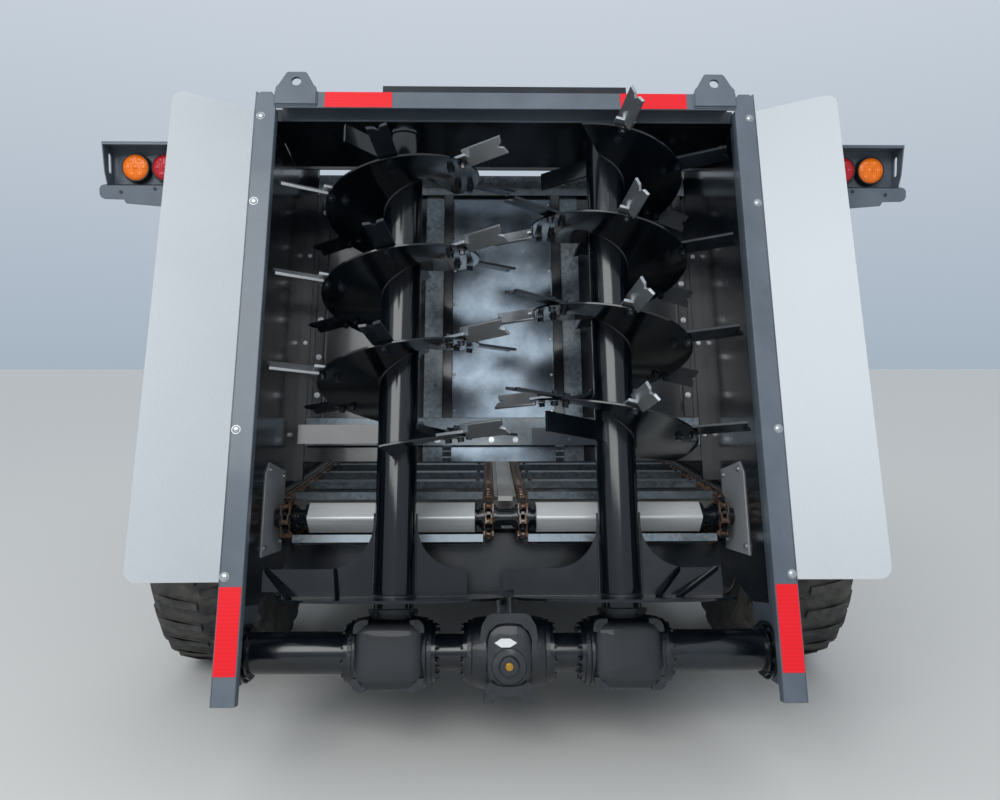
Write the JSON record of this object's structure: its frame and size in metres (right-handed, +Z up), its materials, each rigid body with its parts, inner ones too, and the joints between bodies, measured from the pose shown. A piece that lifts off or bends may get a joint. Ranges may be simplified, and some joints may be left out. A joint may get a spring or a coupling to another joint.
{
  "type": "manure spreader",
  "caption": "Towed box spreader with moving apron floor, sliding gate and twin upright beaters between leaning posts, on a tandem axle.",
  "frame": {"origin": "centre of the drawbar's hitch pin hole, 0.45 m above the ground", "axes": "+Y forward to the tractor, +Z up along the hitch pin, +X to the machine's right"},
  "size_m": [3.38, 7.658, 2.883],
  "materials": {
    "black_paint": "gloss powder coat",
    "grey_paint": "satin grey powder coat",
    "cast_paint": "paint over rough casting",
    "beater_paint": "gloss black paint",
    "knife_steel": "black paint on hardened steel",
    "stainless": "brushed",
    "gate_sheet": "mill finish",
    "galvanised": "galvanised",
    "floor_board": "worn",
    "bright_steel": "bright rolled",
    "chain_steel": "light rust",
    "amber_lens": "moulded lens",
    "red_lens": "moulded lens",
    "red_reflector": "reflective film",
    "tyre": "dusty rubber",
    "rim_paint": "silver paint"
  },
  "bodies": {
    "root": {"chassis": "black_paint", "bogie": "black_paint", "tongue": "black_paint", "box_side_left": "black_paint", "box_side_right": "black_paint", "box_front": "black_paint", "housing_left": "black_paint", "housing_right": "black_paint", "bearing_beam": "black_paint", "gate_guides": "black_paint", "gear_tubes": "black_paint", "apron_shaft_front": "black_paint", "hitch_clevis": "grey_paint", "jack": "grey_paint", "driveline": "grey_paint", "post_left": "grey_paint", "post_right": "grey_paint", "top_beam": "grey_paint", "lamp_brackets": "grey_paint", "gearbox_left": "cast_paint", "gearbox_right": "cast_paint", "gearbox_centre": "cast_paint", "wing_left": "stainless", "wing_right": "stainless", "chain_shields": "stainless", "apron_slats": "galvanised", "floor": "floor_board", "apron_shaft_rear": "bright_steel", "apron_chains": "chain_steel", "amber_lamps": "amber_lens", "red_lamps": "red_lens", "reflectors": "red_reflector"},
    "beater_left": {"beater_left": "beater_paint", "flight_left": "beater_paint", "knives_left": "knife_steel"},
    "beater_right": {"beater_right": "beater_paint", "flight_right": "beater_paint", "knives_right": "knife_steel"},
    "gate": {"gate": "gate_sheet"},
    "wheel_rear_left": {"tyre_rear_left": "tyre", "rim_rear_left": "rim_paint"},
    "wheel_rear_right": {"tyre_rear_right": "tyre", "rim_rear_right": "rim_paint"},
    "wheel_front_left": {"tyre_front_left": "tyre", "rim_front_left": "rim_paint"},
    "wheel_front_right": {"tyre_front_right": "tyre", "rim_front_right": "rim_paint"}
  },
  "joints": [
    {"name": "beater_left_spin", "type": "hinge", "parent": "root", "child": "beater_left", "pos_m": [-0.46, -6.93318, 0.96902], "axis": [0, 0.284, 0.9588], "continuous": true},
    {"name": "beater_right_spin", "type": "hinge", "parent": "root", "child": "beater_right", "pos_m": [0.46, -6.93318, 0.96902], "axis": [0, 0.284, 0.9588], "continuous": true},
    {"name": "gate_slide", "type": "slide", "parent": "root", "child": "gate", "axis": [0, 0.284, 0.9588], "range_m": [-0.08, 0.8]},
    {"name": "wheel_rear_left_spin", "type": "hinge", "parent": "root", "child": "wheel_rear_left", "pos_m": [-1.395, -6.18, 0.175], "axis": [1, 0, 0], "continuous": true},
    {"name": "wheel_front_left_spin", "type": "hinge", "parent": "root", "child": "wheel_front_left", "pos_m": [-1.395, -4.68, 0.175], "axis": [1, 0, 0], "continuous": true},
    {"name": "wheel_rear_right_spin", "type": "hinge", "parent": "root", "child": "wheel_rear_right", "pos_m": [1.395, -6.18, 0.175], "axis": [1, 0, 0], "continuous": true},
    {"name": "wheel_front_right_spin", "type": "hinge", "parent": "root", "child": "wheel_front_right", "pos_m": [1.395, -4.68, 0.175], "axis": [1, 0, 0], "continuous": true}
  ],
  "couplings": [
    {"joint": "beater_right_spin", "follows": "beater_left_spin", "ratio": -1}
  ]
}
